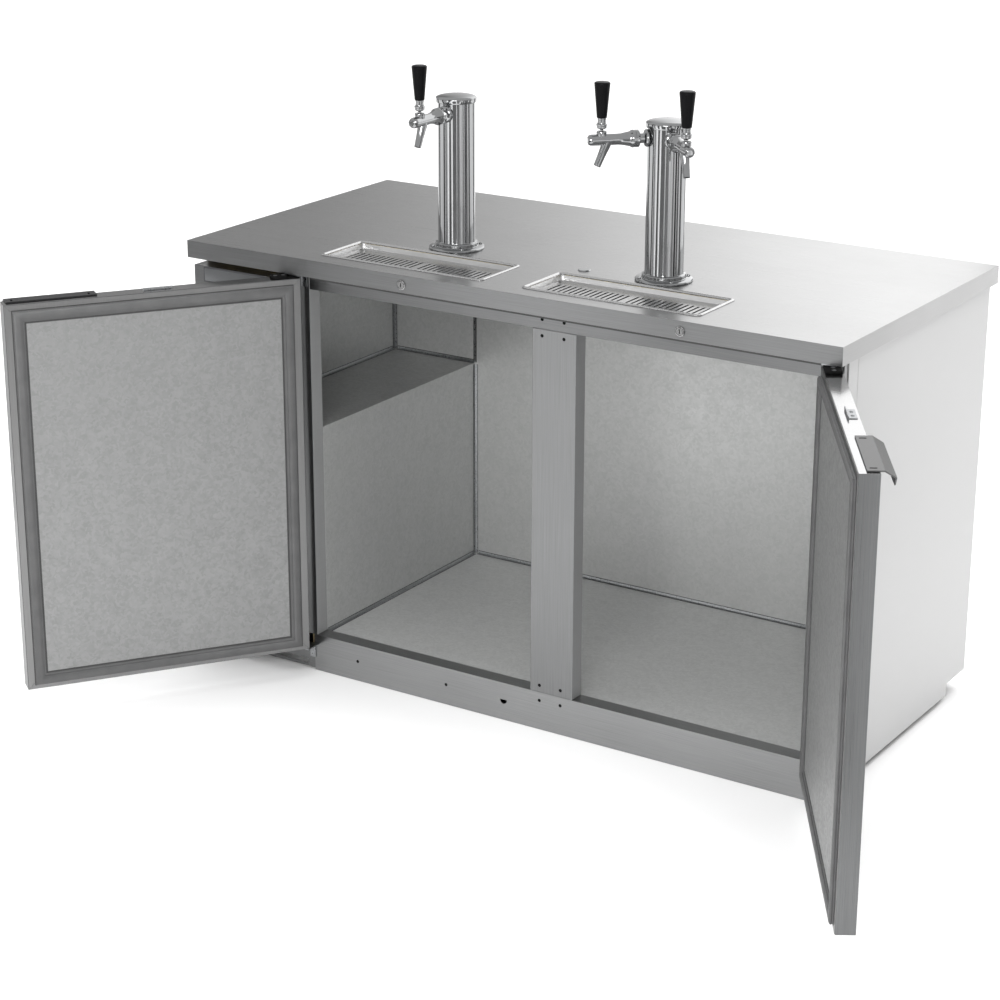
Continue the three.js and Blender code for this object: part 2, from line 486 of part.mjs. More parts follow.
// ---- doors -------------------------------------------------------------------------------------------------
// u runs from the hinge edge, n from the inner face outward
function buildDoor(side, pivotX, sign, openDeg) {
  const door = new THREE.Group();
  door.name = `door_${side}`;
  door.position.set(pivotX, PIVOT_Y, 0);
  door.rotation.z = THREE.MathUtils.degToRad(openDeg);
  cabinet.add(door);
  const ux = (u) => sign * (u - PIVOT_U);
  const ny = (n) => PIVOT_N - n;
  const slab = (u0, u1, n0, n1, z0, z1) => box(
    Math.min(ux(u0), ux(u1)), Math.max(ux(u0), ux(u1)), ny(n1), ny(n0), z0, z1);
  const [z0, z1] = DOOR_Z;

  let shell = slab(0, DOOR_W, 0, DOOR_T, z0, z1);
  shell = cut(shell,
    slab(44, 563, -1, 3, z0 + 36, z1 - 41),
    slab(1.5, DOOR_W - 1.5, 1.5, DOOR_T - 1.5, z0 + 1.5, z1 - 1.5));
  shell = union(shell, slab(0.5, 12, 8, 29, z0 + 0.5, z0 + 16));
  shell = cut(shell, rodZ(0, 0, z0 - 1, z0 + 13, 3.15, 24));
  add(door, `door_shell_${side}`, shell, STEEL);
  add(door, `door_liner_${side}`, slab(40.5, 566.5, -2.3, -GAP, 96, 840), GALVANISED);
  add(door, `door_gasket_${side}`, cut(
    slab(17, 588, -9.4, -GAP, 73.5, 864),
    slab(40, 567, -12, 1, 95.5, 840.5),
    slab(24, 581, -12, -7.4, 80.5, 857)), RUBBER);

  const lip = [[14, z1 + GAP], [42, z1 + GAP], [59.2, z1 - 9.8], [57.8, z1 - 21.5],
    [60.2, z1 - 21], [62, z1 - 9], [43, z1 + 2.8], [14, z1 + 2.8]];
  let pull = extrudeX(lip.map(([n, z]) => [ny(n), z]), Math.min(ux(415), ux(596)), Math.max(ux(415), ux(596)));
  for (const u of [429.5, 583]) {
    pull = cut(pull, slab(u - 2.2, u + 2.2, 19.5, 31.5, z1 - 1, z1 + 5));
  }
  add(door, `door_pull_${side}`, pull, side === 'left' ? DARK : STEEL);
  add(door, `door_strike_${side}`, union(
    slab(266, 318, 13, 30, z1 + GAP, z1 + 1.5),
    slab(263, 323, 13, 15, z1 + GAP, z1 + 6)), STEEL);
  add(door, `hinge_plate_${side}`, union(
    slab(1, 55, 2, 32, z1 + GAP, z1 + 2.6),
    rodZ(0, 0, z1 + 1, z1 + 6.4, 4, 24)), BLACK);

  const px = pivotX;
  const tab = (u0, u1) => [px + sign * (Math.min(u0, u1) - PIVOT_U), px + sign * (Math.max(u0, u1) - PIVOT_U)]
    .sort((a, b) => a - b);
  const [ta, tb] = tab(-1, 13);
  const [pa, pb] = tab(-6, 22);
  const top = cut(union(
    box(ta, tb, FRAME_Y - 2.6, FRAME_Y - GAP, 850, z1 + 6),
    box(pa, pb, -354, FRAME_Y - GAP, z1 + 3.3, z1 + 6)),
  rodZ(px, PIVOT_Y, z1, z1 + 9, 4.12, 24));
  add(cabinet, `hinge_top_${side}`, top, STEEL);
  const low = union(
    box(ta, tb, FRAME_Y - 2.6, FRAME_Y - GAP, 30, z0 - 0.6),
    box(pa, pb, -354, FRAME_Y - GAP, z0 - 3.4, z0 - 0.6),
    rodZ(px, PIVOT_Y, z0 - 2, z0 + 12, 3, 24));
  add(cabinet, `hinge_bottom_${side}`, low, STEEL);
}
buildDoor('left', PIVOT_LX, 1, OPEN_L);
buildDoor('right', PIVOT_RX, -1, OPEN_R);

export default cooler;
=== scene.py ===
import json
import math

import bmesh
import bpy
from mathutils import Matrix, Vector


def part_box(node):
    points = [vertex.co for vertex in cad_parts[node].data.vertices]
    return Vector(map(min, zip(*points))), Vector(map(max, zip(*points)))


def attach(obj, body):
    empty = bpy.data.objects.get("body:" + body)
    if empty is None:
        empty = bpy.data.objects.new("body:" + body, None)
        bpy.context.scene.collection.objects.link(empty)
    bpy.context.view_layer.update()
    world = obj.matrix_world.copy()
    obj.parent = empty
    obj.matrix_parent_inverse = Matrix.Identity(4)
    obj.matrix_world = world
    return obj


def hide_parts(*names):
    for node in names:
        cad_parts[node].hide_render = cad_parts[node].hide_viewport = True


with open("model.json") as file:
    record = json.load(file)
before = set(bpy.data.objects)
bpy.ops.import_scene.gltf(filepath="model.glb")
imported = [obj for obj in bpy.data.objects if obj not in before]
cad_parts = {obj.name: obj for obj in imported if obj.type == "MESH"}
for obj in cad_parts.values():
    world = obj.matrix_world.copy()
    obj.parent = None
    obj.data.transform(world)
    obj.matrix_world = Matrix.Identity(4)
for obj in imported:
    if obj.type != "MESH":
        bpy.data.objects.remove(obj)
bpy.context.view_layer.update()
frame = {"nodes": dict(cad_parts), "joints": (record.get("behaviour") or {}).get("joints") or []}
NODES = frame["nodes"]
MM = 0.001

# ---- camera --------------------------------------------------------------------------------------
camera_data = bpy.data.cameras.new("camera")
camera_data.sensor_width = 36
camera_data.lens = 89.81
camera_data.clip_end = 60
camera = bpy.data.objects.new("camera", camera_data)
camera.location = (2.5478, -4.2734, 2.1238)
camera.rotation_euler = (math.radians(90 - 19.272), math.radians(-0.1), math.radians(32.832))
bpy.context.scene.collection.objects.link(camera)
bpy.context.scene.camera = camera


# ---- node helpers --------------------------------------------------------------------------------
class Nodes:
    """A material's node tree with short calls to add and join nodes."""

    def __init__(self, name):
        self.material = bpy.data.materials.new(name)
        self.material.use_nodes = True
        self.tree = self.material.node_tree
        self.shader = self.tree.nodes["Principled BSDF"]

    def add(self, kind, **values):
        node = self.tree.nodes.new(kind)
        for key, value in values.items():
            setattr(node, key, value)
        return node

    def join(self, source, target):
        self.tree.links.new(source, target)

    def position(self, scale=(1, 1, 1)):
        coords = self.add("ShaderNodeTexCoord")
        mapping = self.add("ShaderNodeMapping")
        mapping.inputs["Scale"].default_value = scale
        self.join(coords.outputs["Object"], mapping.inputs["Vector"])
        return mapping.outputs["Vector"]

    def noise(self, vector, scale, detail=4, rough=0.5):
        node = self.add("ShaderNodeTexNoise")
        node.inputs["Scale"].default_value = scale
        node.inputs["Detail"].default_value = detail
        node.inputs["Roughness"].default_value = rough
        self.join(vector, node.inputs["Vector"])
        return node.outputs["Fac"]

    def ramp(self, source, stops):
        node = self.add("ShaderNodeValToRGB")
        bar = node.color_ramp.elements
        while len(bar) < len(stops):
            bar.new(0.5)
        for mark, (place, colour) in zip(bar, stops):
            mark.position = place
            if isinstance(colour, (int, float)):
                colour = (colour,) * 3
            mark.color = (*colour, 1)
        self.join(source, node.inputs["Fac"])
        return node.outputs["Color"]

    def spread(self, source, low, high, inlow=0.3, inhigh=0.7):
        node = self.add("ShaderNodeMapRange")
        for key, value in (("From Min", inlow), ("From Max", inhigh), ("To Min", low), ("To Max", high)):
            node.inputs[key].default_value = value
        self.join(source, node.inputs["Value"])
        return node.outputs["Result"]

    def mix(self, factor, a, b, mode="MIX"):
        node = self.add("ShaderNodeMix", data_type="RGBA", blend_type=mode)
        for key, value in ((0, factor), (6, a), (7, b)):
            if isinstance(value, bpy.types.NodeSocket):
                self.join(value, node.inputs[key])
            else:
                node.inputs[key].default_value = value if key == 0 else (*value, 1)
        return node.outputs[2]

    def bump(self, height, distance, strength=1.0):
        node = self.add("ShaderNodeBump")
        node.inputs["Distance"].default_value = distance
        node.inputs["Strength"].default_value = strength
        self.join(height, node.inputs["Height"])
        self.join(node.outputs["Normal"], self.shader.inputs["Normal"])

    def set(self, **values):
        for key, value in values.items():
            socket = self.shader.inputs[key.replace("_", " ")]
            if isinstance(value, bpy.types.NodeSocket):
                self.join(value, socket)
            elif isinstance(value, tuple):
                socket.default_value = (*value, 1)
            else:
                socket.default_value = value


def brushed(name, grain, low, high, rough=(0.28, 0.38), bump=0.00002):
    """Brushed stainless: fine lines along one axis ("X", "Y" or "Z") over a slow cloudiness."""
    n = Nodes(name)
    stretch = {"X": (6, 900, 900), "Y": (900, 6, 900), "Z": (900, 900, 6)}[grain]
    lines = n.noise(n.position(stretch), 1.0, 3, 0.6)
    cloud = n.noise(n.position((1, 1, 1)), 3.1, 4, 0.55)
    mid = tuple((a + b) / 2 for a, b in zip(low, high))
    tone = n.ramp(lines, [(0.25, low), (0.5, mid), (0.75, high)])
    haze = n.ramp(cloud, [(0.3, 0.93), (0.7, 1.0)])
    n.set(Base_Color=n.mix(1.0, tone, haze, "MULTIPLY"), Metallic=1.0)
    n.set(Roughness=n.spread(lines, *rough))
    n.bump(lines, bump, 0.35)
    return n.material


def galvanised(name, low, high, rough=(0.38, 0.55), size=40):
    """Hot-dip galvanised sheet: a mottle of small crystals in slightly different greys."""
    n = Nodes(name)
    place = n.position()
    warp = n.noise(place, 55, 3, 0.6)
    cells = n.add("ShaderNodeTexVoronoi", feature="F1")
    cells.inputs["Scale"].default_value = size * 4.6
    shifted = n.add("ShaderNodeMix", data_type="VECTOR")
    shifted.inputs[0].default_value = 0.02
    n.join(place, shifted.inputs[4])
    bent = n.add("ShaderNodeTexNoise")
    bent.inputs["Scale"].default_value = 60
    n.join(place, bent.inputs["Vector"])
    n.join(bent.outputs["Color"], shifted.inputs[5])
    n.join(shifted.outputs[1], cells.inputs["Vector"])
    grey = n.add("ShaderNodeSeparateColor")
    n.join(cells.outputs["Color"], grey.inputs["Color"])
    patch = n.noise(place, 24, 5, 0.65)
    mixed = n.mix(0.5, patch, grey.outputs["Red"])
    mixed = n.mix(0.3, mixed, warp)
    mid = tuple((a + b) / 2 for a, b in zip(low, high))
    n.set(Base_Color=n.ramp(mixed, [(0.28, low), (0.5, mid), (0.74, high)]), Metallic=0.6)
    n.set(Roughness=n.spread(mixed, rough[1], rough[0]))
    n.bump(mixed, 0.00008, 0.2)
    return n.material


def plain_metal(name, colour, rough, spots=0.03, metallic=1.0, scale=90):
    """Chrome, zinc or paint with faint cloudiness in tone and gloss."""
    n = Nodes(name)
    cloud = n.noise(n.position(), scale, 4, 0.55)
    low = tuple(c * (1 - spots) for c in colour)
    n.set(Base_Color=n.ramp(cloud, [(0.3, low), (0.7, colour)]), Metallic=metallic)
    n.set(Roughness=n.spread(cloud, rough * 0.8, rough * 1.25))
    return n.material


def plastic(name, colour, rough=0.4, grain=700, bump=0.00003):
    n = Nodes(name)
    fine = n.noise(n.position(), grain, 3, 0.6)
    broad = n.noise(n.position(), 30, 3, 0.5)
    low = tuple(c * 0.8 for c in colour)
    n.set(Base_Color=n.ramp(broad, [(0.3, low), (0.7, colour)]))
    n.set(Roughness=n.spread(fine, rough - 0.06, rough + 0.08))
    if max(colour) < 0.01:
        n.shader.inputs["Specular IOR Level"].default_value = 0.08
    n.bump(fine, bump, 0.5)
    return n.material


def sheet_paint(name, low, high, rough=(0.4, 0.5), metallic=0.35):
    n = Nodes(name)
    cloud = n.noise(n.position(), 2.2, 4, 0.5)
    lines = n.noise(n.position((8, 8, 700)), 1.0, 3, 0.5)
    both = n.mix(0.25, cloud, lines)
    n.set(Base_Color=n.ramp(both, [(0.3, low), (0.7, high)]), Metallic=metallic)
    n.set(Roughness=n.spread(both, *rough))
    n.bump(lines, 0.00003, 0.2)
    return n.material


# frame steel greys; the worktop's front face wears them too, a darker copy of the worktop steel: painted
# shade
STEEL_LOW, STEEL_HIGH = (0.19, 0.192, 0.193), (0.255, 0.258, 0.26)
MATS = {
    "worktop": brushed("worktop_brushed", "X", (0.43, 0.43, 0.43), (0.49, 0.49, 0.49), (0.26, 0.35)),
    # the worktop's front face: a darker copy of the worktop steel, painted shade
    "edge": brushed("worktop_front_painted_shade", "X", STEEL_LOW, STEEL_HIGH, (0.30, 0.40)),
    "edge_end": brushed("worktop_end", "Y", (0.42, 0.42, 0.42), (0.48, 0.48, 0.48), (0.32, 0.42)),
    "frame_h": brushed("frame_brushed_across", "X", STEEL_LOW, STEEL_HIGH),
    "frame_v": brushed("frame_brushed_up", "Z", STEEL_LOW, STEEL_HIGH),
    "door": brushed("door_brushed", "Z", (0.125, 0.127, 0.128), (0.175, 0.178, 0.18), (0.26, 0.38)),
    "lip": brushed("door_lip_brushed", "Z", (0.22, 0.22, 0.22), (0.26, 0.26, 0.26), (0.30, 0.42)),
    "side": sheet_paint("side_sheet", (0.46, 0.46, 0.46), (0.50, 0.50, 0.50)),
    "galv": galvanised("galvanised_liner", (0.43, 0.435, 0.43), (0.49, 0.495, 0.49), (0.36, 0.46)),
    # door liners: a darker copy of the liner's galvanised sheet, painted shade
    "galv_door_painted_shade": galvanised("galvanised_door_painted_shade", (0.228, 0.23, 0.229), (0.268, 0.27, 0.269)),
    "chrome": plain_metal("chrome_plate", (0.36, 0.365, 0.37), 0.06),
    "tray": brushed("tray_brushed", "X", (0.50, 0.50, 0.50), (0.60, 0.60, 0.60), (0.22, 0.32)),
    "tray_rim": plain_metal("tray_rim_polished", (0.55, 0.55, 0.55), 0.26),
    "rail": brushed("rail_brushed", "X", (0.27, 0.272, 0.273), (0.35, 0.353, 0.355)),
    "header": brushed("header_brushed", "X", (0.16, 0.162, 0.163), (0.215, 0.218, 0.22)),
    "return": sheet_paint("folded_return", (0.25, 0.252, 0.253), (0.30, 0.302, 0.303), (0.4, 0.5), 0.3),
    # the right bay's floor top: a lighter copy of the liner's galvanised sheet, painted light
    "galv_floor_painted_light": galvanised("galvanised_floor_painted_light", (0.58, 0.585, 0.58), (0.65, 0.655, 0.65), (0.40, 0.50)),
    # near-black: the liner's dark joints, and painted shade on the drip trays' floors and the header strip
    "seam_and_painted_shade": plastic("dark_seam_and_painted_shade", (0.045, 0.045, 0.045), 0.6, 300, 0.00005),
    "lock": plain_metal("lock_nickel", (0.33, 0.33, 0.33), 0.22),
    "tray_wall": plain_metal("tray_wall_satin", (0.66, 0.66, 0.66), 0.34, 0.06, 1.0, 30),
    "zinc": plain_metal("zinc_plate", (0.40, 0.41, 0.42), 0.30, 0.12, 1.0, 300),
    "alu": plain_metal("aluminium_sheet", (0.66, 0.67, 0.68), 0.42, 0.08, 1.0, 200),
    "black": plastic("black_plastic", (0.004, 0.004, 0.0045), 0.30),
    "hinge": plastic("black_nylon", (0.004, 0.004, 0.004), 0.6),
    "screw": plastic("black_screw", (0.003, 0.003, 0.003), 0.55),
    "gasket": plastic("grey_gasket", (0.085, 0.085, 0.086), 0.5, 400, 0.00006),
    # near-black for the lines along the gasket's edges: painted shadow
    "gasket_painted_shadow": plastic("gasket_painted_shadow_line", (0.035, 0.035, 0.035), 0.6, 400, 0.00006),
    # near-black copy of the pull steel for the left door's pull: painted shade
    "dark": plain_metal("pull_painted_shade", (0.05, 0.05, 0.052), 0.34, 0.15, 0.7, 200),
    "pull": brushed("pull_brushed", "Y", (0.10, 0.10, 0.10), (0.14, 0.14, 0.14), (0.30, 0.4)),
    # the door's top faces: a lighter copy of the door steel, painted light, with lower roughness
    "door_top_painted_light": brushed("door_top_glossy_painted_light", "X", (0.44, 0.44, 0.44), (0.52, 0.52, 0.52), (0.10, 0.18)),
    "paint": plastic("black_enamel", (0.02, 0.02, 0.02), 0.3, 300, 0.00004),
    "foam": plastic("foam", (0.62, 0.52, 0.30), 0.9, 220, 0.0006),
    "plate": plain_metal("plate_silver", (0.17, 0.175, 0.18), 0.4, 0.06, 0.8, 60),
    "plate_edge": plastic("plate_border", (0.05, 0.05, 0.055), 0.45),
}


# ---- which node wears what -----------------------------------------------------------------------
def wear(node, material):
    mesh = NODES[node].data
    mesh.materials.clear()
    mesh.materials.append(MATS[material])


WEARS = {
    "side": ["side_panel_left", "side_panel_right", "rear_panel"],
    "header": ["header"],
    "rail": ["bottom_rail"],
    "frame_h": ["kick_panel", "grille_panel"],
    "galv": ["liner_back_ceiling", "liner_left_shelf"],
    "foam": ["insulation"],
    "paint": ["base_frame", "fan_shroud", "compressor"],
    "alu": ["condenser_coil", "evaporator_housing"],
    "black": ["condenser_fan", "evaporator_fan", "thermostat_knob"],
    "plate": ["name_plate"],
    "chrome": ["worktop_plug"],
}
for material, names in WEARS.items():
    for name in names:
        wear(name, material)
for side in ("left", "right"):
    # the door liner wears the darker copy of the galvanised sheet: painted shade
    wear(f"door_liner_{side}", "galv_door_painted_shade")
    wear(f"door_gasket_{side}", "gasket")
    # the left pull wears a near-black copy of the pull steel: painted shade
    wear(f"door_pull_{side}", "dark" if side == "left" else "pull")
    wear(f"door_strike_{side}", "zinc")
    wear(f"hinge_plate_{side}", "hinge")
    wear(f"hinge_top_{side}", "zinc")
    wear(f"hinge_bottom_{side}", "zinc")
    wear(f"drip_tray_{side}", "tray")
    wear(f"drip_grid_{side}", "tray")
    wear(f"tower_column_{side}", "chrome")
    wear(f"tower_cap_{side}", "chrome")
    wear(f"door_lock_{side}", "chrome")
for k in (1, 2, 3):
    wear(f"faucet_{k}", "chrome")
    wear(f"tap_lever_{k}", "chrome")
    wear(f"tap_handle_{k}", "black")


# ---- CAD faces that turn a different way are brushed a different way; some also get a lighter or darker copy of their steel: painted light and shade ---
def wear_by_normal(node, rules):
    """rules: (material, test on the face normal); the first that passes wins, the last is the rest."""
    mesh = NODES[node].data
    mesh.materials.clear()
    for material, _ in rules:
        mesh.materials.append(MATS[material])
    for face in mesh.polygons:
        for index, (_, test) in enumerate(rules):
            if test(face.normal):
                face.material_index = index
                break


# the door's up-facing faces wear a lighter copy of the door steel: painted light
for node in ("door_shell_left", "door_shell_right"):
    wear_by_normal(node, [("door_top_painted_light", lambda d: d.z > 0.7), ("door", lambda d: True)])
for node in ("jamb_left", "jamb_right", "mullion"):
    wear_by_normal(node, [("return", lambda d: abs(d.x) > 0.5), ("frame_v", lambda d: True)])
# the floor's up-facing faces wear a lighter copy of the liner sheet: painted light
wear_by_normal("liner_floor_right", [("galv_floor_painted_light", lambda d: d.z > 0.5), ("galv", lambda d: True)])
# the worktop's front face wears darker steel than its top and ends: painted shade
wear_by_normal("worktop", [
    ("worktop", lambda d: abs(d.z) > 0.5),
    ("edge_end", lambda d: abs(d.x) > 0.5),
    ("edge", lambda d: True)])


WELD_WITHIN = 0.00002
FOLD_ANGLE = math.radians(50)


def soften(node, width):
    """Rounds a CAD node's folded edges; its own mesh stays as it is."""
    obj = NODES[node]
    weld = obj.modifiers.new("weld", "WELD")
    weld.merge_threshold = WELD_WITHIN
    bevel = obj.modifiers.new("fold", "BEVEL")
    bevel.width = width
    bevel.segments = 2
    bevel.limit_method = "ANGLE"
    bevel.angle_limit = FOLD_ANGLE
    bevel.harden_normals = True


SOFT_EDGES = {
    0.0020: ["worktop"],
    0.0008: ["header", "bottom_rail", "jamb_left", "jamb_right", "mullion", "kick_panel", "grille_panel",
             "door_shell_left", "door_shell_right"],
    0.0004: ["side_panel_left", "side_panel_right", "rear_panel", "door_pull_left", "door_pull_right",
             "door_strike_left", "door_strike_right", "hinge_top_left", "hinge_top_right",
             "hinge_bottom_left", "hinge_bottom_right", "drip_grid_left", "drip_grid_right",
             "liner_left_shelf", "door_liner_left", "door_liner_right"],
}
for width, names in SOFT_EDGES.items():
    for name in names:
        soften(name, width)


# ---- mesh tools ----------------------------------------------------------------------------------
def finish_mesh(name, bm, material, body, sharp=35):
    bmesh.ops.remove_doubles(bm, verts=bm.verts, dist=1e-6)
    bmesh.ops.recalc_face_normals(bm, faces=bm.faces)
    mesh = bpy.data.meshes.new(name)
    bm.to_mesh(mesh)
    bm.free()
    mesh.materials.append(MATS[material])
    for face in mesh.polygons:
        face.use_smooth = True
    mesh.set_sharp_from_angle(angle=math.radians(sharp))
    obj = bpy.data.objects.new(name, mesh)
    bpy.context.scene.collection.objects.link(obj)
    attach(obj, body)
    return obj


def add_lathe(bm, profile, place, steps=64):
    """Turns (radius, height) pairs in millimetres about local Z; place is the local-to-row matrix."""
    rings = []
    for r, z in profile:
        if r < 1e-6:
            rings.append([bm.verts.new(place @ Vector((0, 0, z * MM)))])
            continue
        rings.append([bm.verts.new(place @ Vector((
            r * MM * math.cos(2 * math.pi * k / steps),
            r * MM * math.sin(2 * math.pi * k / steps), z * MM))) for k in range(steps)])
    for low, high in zip(rings, rings[1:]):
        for k in range(steps):
            m = (k + 1) % steps
            corners = [low[k % len(low)], low[m % len(low)], high[m % len(high)], high[k % len(high)]]
            unique = list(dict.fromkeys(corners))
            if len(unique) > 2:
                bm.faces.new(unique)


def add_loops(bm, loops, closed=True):
    """Joins equal loops of points in turn; when closed, fills the first and last loop."""
    made = [[bm.verts.new(p) for p in loop] for loop in loops]
    count = len(made[0])
    for low, high in zip(made, made[1:]):
        for k in range(count):
            m = (k + 1) % count
            bm.faces.new((low[k], low[m], high[m], high[k]))
    if closed:
        bm.faces.new(made[0])
        bm.faces.new(made[-1])
    return made


def add_block(bm, low, high, place=Matrix.Identity(4), round_by=0.0, segments=2):
    made = bmesh.ops.create_cube(bm, size=1)["verts"]
    size = [(b - a) * MM for a, b in zip(low, high)]
    middle = [(a + b) / 2 * MM for a, b in zip(low, high)]
    for v in made:
        v.co = Vector([v.co[i] * size[i] + middle[i] for i in range(3)])
    if round_by:
        edges = list({e for v in made for e in v.link_edges})
        result = bmesh.ops.bevel(bm, geom=edges, offset=round_by * MM, segments=segments,
                                 affect="EDGES", profile=0.5)
        made = list({v for f in result["faces"] for v in f.verts} | {v for v in made if v.is_valid})
    for v in made:
        v.co = place @ v.co


def rounded_loop(cx, cy, half_w, half_d, radius, z, steps=6):
    points = []
    for corner, (sx, sy) in enumerate(((1, -1), (1, 1), (-1, 1), (-1, -1))):
        for k in range(steps + 1):
            a = math.radians(-90 + corner * 90 + 90 * k / steps)
            points.append(Vector((
                (cx + sx * (half_w - radius) + radius * math.cos(a)) * MM,
                (cy + sy * (half_d - radius) + radius * math.sin(a)) * MM, z * MM)))
    return points


def centre(node):
    low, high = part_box(node)
    return (low + high) / 2


# ---- draught columns and caps --------------------------------------------------------------------
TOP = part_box("worktop")[1].z / MM
COLUMN_R, COLUMN_TOP = 38.1, 1226.6
FLANGE_SCREW_CIRCLE = 50
towers = {side: centre(f"tower_cap_{side}") / MM for side in ("left", "right")}
for side, spot in towers.items():
    place = Matrix.Translation((spot.x * MM, spot.y * MM, 0))
    z = TOP + 0.3
    bm = bmesh.new()
    add_lathe(bm, [(0, z), (56.2, z), (57, z + 0.8), (57, z + 3.2), (56, z + 4.6), (53.5, z + 5.6),
                   (44.5, z + 6.4), (43.6, z + 7), (43.6, z + 12.6), (42.8, z + 13.8), (40.2, z + 14.4),
                   (38.6, z + 15.2), (COLUMN_R, z + 17), (COLUMN_R, COLUMN_TOP), (0, COLUMN_TOP)], place, 96)
    column = finish_mesh(f"column_{side}", bm, "chrome", "cabinet", 28)
    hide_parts(f"tower_column_{side}")
    bm = bmesh.new()
    add_lathe(bm, [(38.6, 1222.3), (41, 1222.2), (41.5, 1223), (41.5, 1230.2), (41.2, 1231.6),
                   (40.2, 1232.6), (34, 1234.8), (24, 1236.6), (12, 1237.6), (0, 1237.9)], place, 96)
    add_lathe(bm, [(38.6, 1222.3), (38.6, 1227.4), (0, 1227.4)], place, 96)
    cap = finish_mesh(f"column_cap_{side}", bm, "chrome", "cabinet", 40)
    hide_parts(f"tower_cap_{side}")
    bm = bmesh.new()
    for k in range(4):
        a = math.radians(45 + 90 * k)
        at = place @ Matrix.Translation((FLANGE_SCREW_CIRCLE * MM * math.cos(a),
                                         FLANGE_SCREW_CIRCLE * MM * math.sin(a), 0))
        add_lathe(bm, [(0, z + 5.4), (3.6, z + 5.4), (3.6, z + 7), (3, z + 8.2), (1.6, z + 8.8),
                       (0, z + 8.9)], at, 20)
    screws = finish_mesh(f"flange_screws_{side}", bm, "chrome", "cabinet", 40)

# ---- taps ----------------------------------------------------------------------------------------
LEVER_PIVOT_UP = 4.5
SPOUT_FROM, SPOUT_TO = (-121.2, -9), (-138.3, -50.4)
SPOUT_LEAN = math.atan2(138.3 - 121.2, 50.4 - 9)
SPOUT = [(-119.5, -3, 10.4), (*SPOUT_FROM, 9.8), (-124, -17, 8.8), (-130, -31, 7.7), (-136, -45.2, 7.2),
         (*SPOUT_TO, 7.1)]


def spout_ring(root, y, z, r, steps=32):
    """A ring of points round the spout, square to its lean."""
    return [root @ Vector((r * MM * math.cos(t), (y + r * math.sin(t) * math.cos(SPOUT_LEAN)) * MM,
                           (z - r * math.sin(t) * math.sin(SPOUT_LEAN)) * MM))
            for t in (2 * math.pi * i / steps for i in range(steps))]


joints = {j["name"]: j for j in frame["joints"]}
for k, side in ((1, "left"), (2, "right"), (3, "right")):
    pull = joints[f"tap_{k}_pull"]
    ax = Vector(pull["axis"])
    pivot = Vector(pull["pos_m"])
    forward = Vector((ax.y, -ax.x, 0))
    turn = Matrix((ax, -forward, (0, 0, 1))).transposed().to_4x4()
    spot = towers[side]
    tap_z = pivot.z / MM - LEVER_PIVOT_UP
    root = Matrix.Translation((spot.x * MM, spot.y * MM, tap_z * MM)) @ turn
    along = root @ Matrix.Rotation(math.radians(90), 4, "X")
    bm = bmesh.new()
    add_lathe(bm, [(0, 36), (10, 36), (16.6, 38.6), (17, 39.6), (17, 41.8), (16, 43.6), (14, 45.2),
                   (10.6, 46.2), (9.6, 46.8), (9.4, 56.2), (11, 56.8), (15.8, 57), (16.9, 58.2), (17, 60),
                   (17, 64), (16.2, 64.5), (16.2, 66.5), (17, 67), (17, 70.6), (16.2, 72), (14.6, 74.4),
                   (14, 77), (13.4, 80), (12.2, 86), (11.2, 92), (10.8, 98), (10.8, 149), (10.4, 152.6),
                   (9.2, 155.2), (7, 156.6), (6.6, 156.2), (5.6, 156.4), (4.8, 157.1), (0, 157.2)],
              along, 48)
    body = finish_mesh(f"tap_body_{k}", bm, "chrome", "cabinet", 32)
    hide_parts(f"faucet_{k}")
    bm = bmesh.new()
    loops = [spout_ring(root, y, z, r) for y, z, r in SPOUT]
    y, z = SPOUT_TO
    for r, back in ((6.6, 0.3), (5.4, 0.0), (5.3, -14.0)):
        loops.append(spout_ring(root, y - back * math.sin(SPOUT_LEAN), z - back * math.cos(SPOUT_LEAN), r))
    add_loops(bm, loops)
    spout = finish_mesh(f"tap_spout_{k}", bm, "chrome", "cabinet", 40)
    bm = bmesh.new()
    bonnet = root @ Matrix.Translation((0, -130 * MM, 0))
    add_lathe(bm, [(9.4, 6), (9.8, 9), (9.8, 15.2), (9.4, 16.4), (8.6, 16.5), (5.6, 9), (5.2, 6), (9.4, 6)],
              bonnet, 40)
    collar = finish_mesh(f"tap_bonnet_{k}", bm, "chrome", "cabinet", 40)
    at = Matrix.Translation(pivot)
    bm = bmesh.new()
    add_lathe(bm, [(0, -4.2), (2.6, -3.4), (4.2, -0.6), (4.0, 1.4), (3.0, 3.4), (3.0, 15.2), (5, 16.2),
                   (8.8, 17.8), (9.6, 18.8), (9.8, 22.6), (10.3, 23.2), (10.5, 24.4), (10.5, 25.6),
                   (9.8, 26.6), (8.5, 27), (8.2, 27.8), (8.2, 30.4), (7.9, 30.8), (7.9, 34), (8.2, 34.4),
                   (8.2, 37.5), (0, 37.6)], at, 40)
    lever = finish_mesh(f"lever_{k}", bm, "chrome", f"tap_{k}", 30)
    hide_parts(f"tap_lever_{k}")
    bm = bmesh.new()
    add_lathe(bm, [(0, 37.8), (8.9, 37.8), (9.6, 38.4), (9.9, 40), (10.6, 48), (12, 64), (13.4, 80),
                   (14.7, 95), (15.3, 101.6), (15.4, 103.4), (15.0, 104.8), (13.9, 105.8), (12.4, 106.3),
                   (0, 106.5)], at, 56)
    knob = finish_mesh(f"handle_{k}", bm, "black", f"tap_{k}", 45)
    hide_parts(f"tap_handle_{k}")

